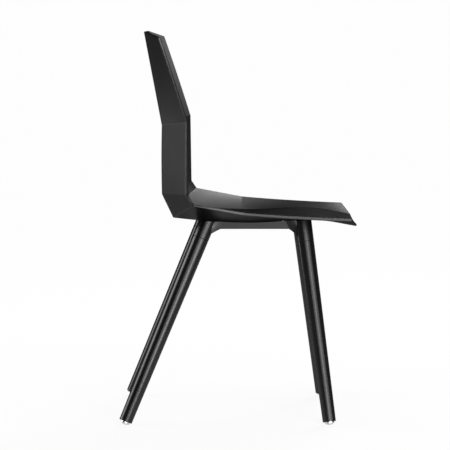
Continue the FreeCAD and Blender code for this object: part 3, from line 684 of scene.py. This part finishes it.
def gusset(side, end):
    """A wedge whose outer face curves from the beam to the socket."""
    sign = SIDES[side]
    root_y = gusset_point(sign, end, 0.0, CASTING_BOTTOM)[1]
    mesh = bmesh.new()
    outer_grid = []
    inner_grid = []
    for i in range(GUSSET_STEPS + 1):
        share = i / GUSSET_STEPS
        away = abs(gusset_point(sign, end, share, CASTING_BOTTOM)[1] - root_y)
        low = CASTING_BOTTOM - GUSSET_FALLS[end] * away
        column = []
        inner_column = []
        for j in range(GUSSET_STEPS + 1):
            height = GUSSET_TOP + (low - GUSSET_TOP) * j / GUSSET_STEPS
            point = gusset_point(sign, end, share, height)
            column.append(mesh.verts.new(Vector(point) * MM))
            point[0] = sign * GUSSET_ROOT_HALF
            inner_column.append(mesh.verts.new(Vector(point) * MM))
        outer_grid.append(column)
        inner_grid.append(inner_column)
    for i in range(GUSSET_STEPS):
        for j in range(GUSSET_STEPS):
            for grid in (outer_grid, inner_grid):
                mesh.faces.new((grid[i][j], grid[i + 1][j], grid[i + 1][j + 1], grid[i][j + 1]))
    for i in range(GUSSET_STEPS):
        for j in (0, GUSSET_STEPS):
            mesh.faces.new((outer_grid[i][j], outer_grid[i + 1][j],
                            inner_grid[i + 1][j], inner_grid[i][j]))
    for j in range(GUSSET_STEPS):
        for i in (0, GUSSET_STEPS):
            mesh.faces.new((outer_grid[i][j], outer_grid[i][j + 1],
                            inner_grid[i][j + 1], inner_grid[i][j]))
    return finish_mesh(f"gusset_{end}_{side}", mesh)


def keep_creases(casting):
    """Keep the crease sharp where a gusset leaves the beam's flat face."""
    mesh = bmesh.new()
    mesh.from_mesh(casting.data)
    for edge in mesh.edges:
        normals = [face.normal for face in edge.link_faces]
        flats = [abs(normal.x) > FLAT_SHARE for normal in normals]
        middle = (edge.verts[0].co + edge.verts[1].co) / 2
        if len(normals) == 2 and flats[0] != flats[1] and abs(middle.x) > FLAT_HALF * MM:
            bend = math.degrees(normals[0].angle(normals[1]))
            if CREASE_BENDS[0] < bend < CREASE_BENDS[1]:
                edge.smooth = False
    mesh.to_mesh(casting.data)
    mesh.free()


def make_casting(side):
    sign = SIDES[side]
    ends_back = {}
    for end in ENDS:
        seam, direction = leg_axis(side, end)
        ends_back[end] = (seam + direction * (FLANGE_TOP - seam[2]) / direction[2])[1]
    outline = [
        (CASTING_HALF, CASTING_BOTTOM), (CASTING_HALF, BEAM_TOP),
        (CASTING_INNER_HALF, BEAM_TOP), (CASTING_INNER_HALF, FLANGE_TOP),
        (FLANGE_INNER_HALF, FLANGE_TOP), (FLANGE_INNER_HALF, FLANGE_BOTTOM),
        (CASTING_INNER_HALF, FLANGE_BOTTOM), (CASTING_INNER_HALF, CASTING_BOTTOM),
    ]
    outline = rounded(outline, CASTING_EDGES)
    casting = prism(
        f"casting_{side}", outline,
        lambda half, height: np.array((sign * half, ends_back["front"], height)),
        np.array((0.0, ends_back["rear"] - ends_back["front"], 0.0)),
    )
    combine(casting, [socket_blank(side, end) for end in ENDS]
            + [gusset(side, end) for end in ENDS], "UNION")
    holes = []
    for end in ENDS:
        places = [(RAIL_SCREW_HALF, RAIL_BACK[end] - RAIL_SCREW_STEP),
                  (RAIL_SCREW_HALF, RAIL_BACK[end] + RAIL_SCREW_STEP),
                  (MOUNT_HALF, MOUNT_BACK[end])]
        for half, back in places:
            base = np.array((sign * half, LIP_Y + back, FLANGE_BOTTOM - CUT_OVERRUN))
            outline = [(0, 0), (SCREW_HOLE_RADIUS, 0), (SCREW_HOLE_RADIUS, SCREW_HOLE_CUT),
                       (0, SCREW_HOLE_CUT)]
            holes.append(turned(f"screw_hole_{len(holes)}", outline, base, UP, SMALL_SIDES))
    rear, front = SPACE_STEPS
    line = sample(outer_crease[REAR_SEAT], [i / rear for i in range(rear + 1)])
    line += sample(outer_crease[FRONT_SEAT], [i / front for i in range(1, front + 1)])
    space = [(p[1], p[2] - SHELL_CLEARANCE) for p in line]
    space += [(line[-1][1], SPACE_TOP), (line[0][1], SPACE_TOP)]
    holes.append(prism(
        f"seat_space_{side}", space,
        lambda y, height: np.array((sign * SPACE_START, y, height)),
        np.array((sign * SPACE_LENGTH, 0.0, 0.0)),
    ))
    holes += [socket_bores(side, end) for end in ENDS]
    combine(casting, holes, "DIFFERENCE")
    stand_for(casting, f"side_casting_{side}", "casting_coating")
    keep_creases(casting)


for side in SIDES:
    make_casting(side)


# Materials
# Strength of the clear satin layer, and how widely each surface spreads its reflections.
SATIN_COAT = 0.69
SHELL_SPREAD = 0.3
LEG_SPREAD = 0.25
CASTING_SPREAD = 0.28
RAIL_SPREAD = 0.4
# How much of a satin surface's clear reflection is left, from straight on to grazing.
SHEEN_SHARES = ((0.0, 1.0), (0.3, 0.92), (0.5, 0.62), (0.6, 0.52), (0.7, 0.42), (0.8, 0.24),
                (0.9, 0.09), (1.0, 0.05))
# Scale and detail of the clouds and of the specks in a satin surface.
CLOUDS = (9.0, 4.0)
SPECKS = (420.0, 2.0)
# Where the clouds go from dark to light, and where the specks show, with their share and light.
CLOUD_TINT = (0.35, 0.65)
SPECK_TINT = (0.62, 0.80)
SPECK_SHARE = 0.25
SPECK_LIGHT = 2
# Rubbed edges: their reach in mm, and how the specks leave some of the finish on them.
RUB_REACH = 1.0
RUB_SPECKS = (0.3, 0.6)
RUB_SHARES = (0.3, 1.0)
# Uneven polish: the clouds' range, and the roughness and the clear layer's share along it.
POLISH_CLOUDS = (0.3, 0.7)
SATIN_ROUGHNESS = (0.52, 0.62)
COAT_SHARES = (0.94, 1.06)
GRAIN_DETAIL = 3.0
EDGE_SAMPLES = 4
# Cosines between the rounded and the true normal where wear starts and where it is full.
EDGE_COSINES = (0.985, 0.90)
# Scale, detail and roughness of the tarnish on bare metal, and where it goes from clean to full.
TARNISH = (60.0, 5.0, 0.6)
TARNISH_TINT = (0.35, 0.7)
# Polished edges: their reach in mm, their share, and how much lighter they are.
POLISHED_REACH = 0.4
POLISHED_SHARE = 0.6
POLISHED_LIGHT = 1.2
MARK_DETAIL = 2.0
# Rubber: scale and detail of its bloom, where that goes from none to full, its greys from
# clean to bloomed, its roughness, its shine, and its grain's scale and detail, depth in mm and
# strength.
BLOOM = (90.0, 4.0)
BLOOM_TINT = (0.4, 0.7)
RUBBER_GREYS = (0.012, 0.03)
RUBBER_ROUGHNESS = (0.7, 0.88)
RUBBER_SHINE = 0.3
RUBBER_GRAIN = (1600.0, 2.0)
RUBBER_RELIEF = (0.05, 0.5)
# Relief: scales, depth in mm and strength of each layer.
MOULD_GRAIN = [((1300.0, 1300.0, 1300.0), 0.012, 0.22), ((70.0, 70.0, 70.0), 0.03, 0.15)]
LACQUER_GRAIN = [((700.0, 700.0, 22.0), 0.003, 0.15), ((90.0, 90.0, 12.0), 0.01, 0.1)]
POWDER_GRAIN = [((520.0, 520.0, 520.0), 0.01, 0.15), ((1800.0, 1800.0, 1800.0), 0.004, 0.15)]
TURNED_MARKS = [((40.0, 40.0, 5000.0), 0.004, 0.4), ((300.0, 300.0, 300.0), 0.01, 0.3)]
PLATED_MARKS = [((1500.0, 1500.0, 1500.0), 0.01, 0.4)]
# Greys of each satin surface: dark, light, and on rubbed edges.
SHELL_GREYS = (0.0026, 0.0036, 0.008)
LEG_GREYS = (0.0016, 0.0026, 0.006)
CASTING_GREYS = (0.0017, 0.0025, 0.006)
RAIL_GREYS = (0.005, 0.008, 0.015)
# Colours of each metal, clean and tarnished, and the range of its roughness.
NICKEL = ((0.66, 0.65, 0.62), (0.50, 0.49, 0.46), (0.16, 0.30))
STEEL = ((0.50, 0.50, 0.52), (0.40, 0.39, 0.36), (0.26, 0.42))
BRASS = ((0.75, 0.55, 0.26), (0.58, 0.41, 0.19), (0.24, 0.4))


def new_material(name):
    material = bpy.data.materials.new(name)
    material.use_nodes = True
    tree = material.node_tree
    shader = tree.nodes["Principled BSDF"]
    return material, tree, shader


def node(tree, kind, inputs=None, **settings):
    """A new node with its settings; an input takes a value or another node's socket."""
    item = tree.nodes.new(kind)
    for key, value in settings.items():
        setattr(item, key, value)
    for key, value in (inputs or {}).items():
        connect(tree, item.inputs[key], value)
    return item


def connect(tree, socket, value):
    if isinstance(value, bpy.types.NodeSocket):
        tree.links.new(value, socket)
    else:
        socket.default_value = value


def object_place(tree):
    return node(tree, "ShaderNodeTexCoord").outputs["Object"]


def turning_place(tree):
    """Place on a turned piece, measured along and around its own axis."""
    return node(tree, "ShaderNodeAttribute", attribute_name=TURNING).outputs["Vector"]


def stretched(tree, place, scales):
    return node(tree, "ShaderNodeMapping", {"Vector": place, "Scale": scales}).outputs[0]


def noise(tree, place, scale, detail, rough=0.5):
    return node(
        tree, "ShaderNodeTexNoise",
        {"Vector": place, "Scale": scale, "Detail": detail, "Roughness": rough},
    ).outputs["Fac"]


def ranged(tree, value, low, high, to_low=0.0, to_high=1.0, way="LINEAR"):
    """A value moved from one range to another, and kept inside it."""
    return node(
        tree, "ShaderNodeMapRange",
        {"Value": value, "From Min": low, "From Max": high, "To Min": to_low,
         "To Max": to_high},
        interpolation_type=way,
    ).outputs["Result"]


def maths(tree, operation, first, second):
    return node(tree, "ShaderNodeMath", {0: first, 1: second}, operation=operation).outputs[0]


def blend_colour(tree, share, first, second):
    mix = node(tree, "ShaderNodeMix", data_type="RGBA")
    connect(tree, mix.inputs["Factor"], share)
    colours = [socket for socket in mix.inputs if socket.type == "RGBA"]
    for socket, value in zip(colours, (first, second)):
        connect(tree, socket, value if isinstance(value, bpy.types.NodeSocket) else (*value, 1.0))
    return [socket for socket in mix.outputs if socket.type == "RGBA"][0]


def bump(tree, height, depth, strength, under=None):
    """Relief of a real depth, in millimetres."""
    item = node(tree, "ShaderNodeBump", {"Height": height, "Distance": depth * MM,
                                         "Strength": strength})
    if under is not None:
        tree.links.new(under, item.inputs["Normal"])
    return item.outputs["Normal"]


def edge_share(tree, radius):
    """1 on an edge or corner and 0 on open faces."""
    around = node(tree, "ShaderNodeBevel", {"Radius": radius * MM}, samples=EDGE_SAMPLES)
    true = node(tree, "ShaderNodeNewGeometry").outputs["Normal"]
    alike = node(tree, "ShaderNodeVectorMath", {0: around.outputs[0], 1: true},
                 operation="DOT_PRODUCT").outputs["Value"]
    return ranged(tree, alike, *EDGE_COSINES)


def grey(value):
    return (value, value, value)


def sheen(tree, coat):
    """Weight of the clear layer: full straight on, and little of it at grazing angles."""
    facing = node(tree, "ShaderNodeLayerWeight", {"Blend": 0.5}).outputs["Facing"]
    ramp = node(tree, "ShaderNodeValToRGB", {"Fac": facing})
    stops = ramp.color_ramp.elements
    stops[0].position, stops[1].position = SHEEN_SHARES[0][0], SHEEN_SHARES[-1][0]
    stops[0].color = (*grey(SHEEN_SHARES[0][1] * coat), 1.0)
    stops[1].color = (*grey(SHEEN_SHARES[-1][1] * coat), 1.0)
    for place, share in SHEEN_SHARES[1:-1]:
        stops.new(place).color = (*grey(share * coat), 1.0)
    return ramp.outputs["Color"]


def satin(name, greys, spread, place_of, grain):
    """A black satin surface under a clear layer."""
    dark, light, rubbed_light = greys
    material, tree, shader = new_material(name)
    place = place_of(tree)
    clouds = noise(tree, object_place(tree), *CLOUDS)
    specks = noise(tree, place, *SPECKS)
    colour = blend_colour(tree, ranged(tree, clouds, *CLOUD_TINT), grey(dark), grey(light))
    colour = blend_colour(tree, ranged(tree, specks, *SPECK_TINT, 0.0, SPECK_SHARE), colour,
                          grey(light * SPECK_LIGHT))
    edges = edge_share(tree, RUB_REACH)
    rubbed = maths(tree, "MULTIPLY", edges, ranged(tree, specks, *RUB_SPECKS, *RUB_SHARES))
    colour = blend_colour(tree, rubbed, colour, grey(rubbed_light))
    tree.links.new(colour, shader.inputs["Base Color"])
    shader.inputs["Specular IOR Level"].default_value = 0.0
    shader.inputs["Coat Roughness"].default_value = spread
    tree.links.new(ranged(tree, clouds, *POLISH_CLOUDS, *SATIN_ROUGHNESS),
                   shader.inputs["Roughness"])
    weight = maths(tree, "MULTIPLY", sheen(tree, SATIN_COAT),
                   ranged(tree, clouds, *POLISH_CLOUDS, *COAT_SHARES))
    tree.links.new(weight, shader.inputs["Coat Weight"])
    normal = None
    for scales, depth, strength in grain:
        relief = noise(tree, stretched(tree, place, scales), 1.0, GRAIN_DETAIL)
        normal = bump(tree, relief, depth, strength, normal)
    tree.links.new(normal, shader.inputs["Normal"])
    tree.links.new(normal, shader.inputs["Coat Normal"])
    return material


def metal(name, looks, place_of, grain):
    """Bare metal with a cloudy tarnish, uneven polish and fine marks."""
    clean, tarnished, roughness = looks
    material, tree, shader = new_material(name)
    place = place_of(tree)
    clouds = noise(tree, place, *TARNISH)
    colour = blend_colour(tree, ranged(tree, clouds, *TARNISH_TINT), clean, tarnished)
    edges = edge_share(tree, POLISHED_REACH)
    bright = tuple(min(1.0, value * POLISHED_LIGHT) for value in clean)
    colour = blend_colour(tree, maths(tree, "MULTIPLY", edges, POLISHED_SHARE), colour, bright)
    tree.links.new(colour, shader.inputs["Base Color"])
    shader.inputs["Metallic"].default_value = 1.0
    tree.links.new(ranged(tree, clouds, *POLISH_CLOUDS, *roughness), shader.inputs["Roughness"])
    normal = None
    for scales, depth, strength in grain:
        relief = noise(tree, stretched(tree, place, scales), 1.0, MARK_DETAIL)
        normal = bump(tree, relief, depth, strength, normal)
    tree.links.new(normal, shader.inputs["Normal"])
    return material


def rubber(name):
    """Black rubber with a dull bloom and moulded grain."""
    material, tree, shader = new_material(name)
    place = object_place(tree)
    bloom = noise(tree, place, *BLOOM)
    clean, bloomed = RUBBER_GREYS
    colour = blend_colour(tree, ranged(tree, bloom, *BLOOM_TINT), grey(clean), grey(bloomed))
    tree.links.new(colour, shader.inputs["Base Color"])
    tree.links.new(ranged(tree, bloom, *POLISH_CLOUDS, *RUBBER_ROUGHNESS),
                   shader.inputs["Roughness"])
    shader.inputs["Specular IOR Level"].default_value = RUBBER_SHINE
    tree.links.new(bump(tree, noise(tree, place, *RUBBER_GRAIN), *RUBBER_RELIEF),
                   shader.inputs["Normal"])
    return material


FINISHES = {
    "shell_plastic": satin("shell_plastic", SHELL_GREYS, SHELL_SPREAD, object_place, MOULD_GRAIN),
    "leg_lacquer": satin("leg_lacquer", LEG_GREYS, LEG_SPREAD, turning_place, LACQUER_GRAIN),
    "casting_coating": satin("casting_coating", CASTING_GREYS, CASTING_SPREAD,
                             object_place, POWDER_GRAIN),
    "rail_coating": satin("rail_coating", RAIL_GREYS, RAIL_SPREAD, object_place, POWDER_GRAIN),
    "glide_nickel": metal("glide_nickel", NICKEL, turning_place, TURNED_MARKS),
    "fastener_steel": metal("fastener_steel", STEEL, object_place, PLATED_MARKS),
    "insert_brass": metal("insert_brass", BRASS, object_place, PLATED_MARKS),
    "pad_rubber": rubber("pad_rubber"),
}
for entry in frame["record"]["subparts"]:
    item = nodes[entry["node"]]
    item.data.materials.clear()
    item.data.materials.append(FINISHES[entry["material_slot"]])
for item, slot_name in fine_pieces:
    item.data.materials.clear()
    item.data.materials.append(FINISHES[slot_name])

# Floor and light
# In metres.
STAGE_RADIUS = 12.0
STAGE_WALL = 2.3
STAGE_BEND = 1.0
STAGE_BEND_STEPS = 8
STAGE_SIDES = 96
FLOOR_ROUGHNESS = 0.9
FLOOR_GREY = 0.28
FLOOR_WHITE = 0.6
# Share of plain white in the floor: where it is pale, and along the white part, between two
# places behind the chair.
FLOOR_PALE_SHARE = 0.2
FLOOR_WHITE_PLACES = (0.3, 1.3)
FLOOR_WHITE_SHARES = (0.9, 0.985)
# The white part of the floor: its half width at the chair and what that gains per metre
# behind it, where its sides fade out as shares of that half width, and where it fades out
# before the chair.
WHITE_HALF = 0.52
WHITE_SPREAD = 0.09
WHITE_SIDE_SHARES = (1.0, 1.9)
WHITE_FRONT = (-1.2, -0.7)
WORLD_LIGHT = 0.05


def make_stage():
    """A round pale floor that bends up into a low wall."""
    ring = [(STAGE_RADIUS - STAGE_BEND, 0.0)]
    for i in range(1, STAGE_BEND_STEPS + 1):
        angle = math.radians(90.0 * i / STAGE_BEND_STEPS)
        ring.append((STAGE_RADIUS - STAGE_BEND * (1 - math.sin(angle)),
                     STAGE_BEND * (1 - math.cos(angle))))
    ring.append((STAGE_RADIUS, STAGE_WALL))
    points = [(0.0, 0.0, 0.0)]
    for radius, height in ring:
        for k in range(STAGE_SIDES):
            turn = 2 * math.pi * k / STAGE_SIDES
            points.append((radius * math.cos(turn), radius * math.sin(turn), height))
    faces = [(0, 1 + k, 1 + (k + 1) % STAGE_SIDES) for k in range(STAGE_SIDES)]
    for level in range(len(ring) - 1):
        base = 1 + level * STAGE_SIDES
        for k in range(STAGE_SIDES):
            after = (k + 1) % STAGE_SIDES
            faces.append((base + k, base + STAGE_SIDES + k, base + STAGE_SIDES + after,
                          base + after))
    mesh = bpy.data.meshes.new("studio_floor")
    mesh.from_pydata(points, [], faces)
    mesh.shade_smooth()
    item = new_object("studio_floor", mesh)
    return item


def floor_material():
    """Pale floor, white where it makes the picture's background; it keeps its shadows."""
    material, tree, shader = new_material("studio_floor")
    shader.inputs["Roughness"].default_value = FLOOR_ROUGHNESS
    shader.inputs["Specular IOR Level"].default_value = 0.0
    place = node(tree, "ShaderNodeSeparateXYZ", {0: object_place(tree)}).outputs
    half = maths(tree, "ADD", maths(tree, "MULTIPLY", place["X"], WHITE_SPREAD), WHITE_HALF)
    aside = maths(tree, "DIVIDE", maths(tree, "ABSOLUTE", place["Y"], 0.0), half)
    behind = maths(
        tree, "MULTIPLY", ranged(tree, aside, *WHITE_SIDE_SHARES, 1.0, 0.0, "SMOOTHSTEP"),
        ranged(tree, place["X"], *WHITE_FRONT, 0.0, 1.0, "SMOOTHSTEP"),
    )
    tree.links.new(blend_colour(tree, behind, grey(FLOOR_GREY), grey(FLOOR_WHITE)),
                   shader.inputs["Base Color"])
    white_share = ranged(tree, place["X"], *FLOOR_WHITE_PLACES, *FLOOR_WHITE_SHARES)
    share = ranged(tree, behind, 0.0, 1.0, FLOOR_PALE_SHARE, white_share)
    path = node(tree, "ShaderNodeLightPath").outputs
    seen = maths(tree, "MAXIMUM", path["Is Camera Ray"], path["Is Glossy Ray"])
    seen = maths(tree, "MAXIMUM", seen, path["Is Transmission Ray"])
    white = node(tree, "ShaderNodeEmission", {"Color": (1, 1, 1, 1), "Strength": 1.0})
    mix = node(tree, "ShaderNodeMixShader", {0: maths(tree, "MULTIPLY", share, seen),
                                             1: shader.outputs[0], 2: white.outputs[0]})
    tree.links.new(mix.outputs[0], tree.nodes["Material Output"].inputs["Surface"])
    return material


stage = make_stage()
stage.data.materials.append(floor_material())

world = bpy.data.worlds.new("studio")
bpy.context.scene.world = world
world.use_nodes = True
background = world.node_tree.nodes["Background"]
background.inputs["Color"].default_value = (1, 1, 1, 1)
background.inputs["Strength"].default_value = WORLD_LIGHT

# Softboxes: name, turn in degrees from the viewer's side towards the chair's front, distance,
# height, width and length in metres, power in watts. Each looks at the chair's middle.
AIM = (0.0, 0.0, 0.45)
LAMPS = [
    ("key_core", 20, 3.0, 0.95, 0.9, 1.7, 35.3),
    ("key_right", 41, 3.0, 0.85, 0.9, 1.5, 13.2),
    ("key_left", 0, 3.0, 0.75, 0.8, 1.3, 11.4),
    ("key_high", 14, 2.8, 2.1, 1.6, 0.8, 44.6),
    ("key_low", 24, 3.0, 0.22, 1.3, 0.4, 20.0),
    ("rim_low", 50, 3.0, 0.38, 1.0, 0.45, 8.0),
    ("left_main", -98, 3.0, 1.5, 1.0, 1.1, 31.8),
    ("left_fore", -80, 3.0, 1.7, 0.9, 1.1, 22.2),
    ("left_low", -100, 3.0, 0.5, 1.2, 0.8, 21.2),
    ("front_side", 130, 3.0, 1.15, 1.2, 0.5, 4.8),
    ("front_mid", 148, 3.0, 1.2, 0.9, 0.9, 6.3),
    ("front_high", 160, 2.6, 2.3, 1.2, 1.0, 92.8),
    ("overhead", 0, 0.0, 3.0, 1.6, 1.6, 24.9),
]


def softbox(name, turn, distance, height, width, length, watts):
    data = bpy.data.lights.new(name, "AREA")
    data.shape = "RECTANGLE"
    data.size = width
    data.size_y = length
    data.energy = watts
    item = bpy.data.objects.new(name, data)
    angle = math.radians(turn)
    item.location = (-math.cos(angle) * distance, -math.sin(angle) * distance, height)
    away = item.location - Vector(AIM)
    item.rotation_euler = away.to_track_quat("Z", "Y").to_euler()
    item.visible_camera = False
    bpy.context.scene.collection.objects.link(item)


for lamp in LAMPS:
    softbox(*lamp)
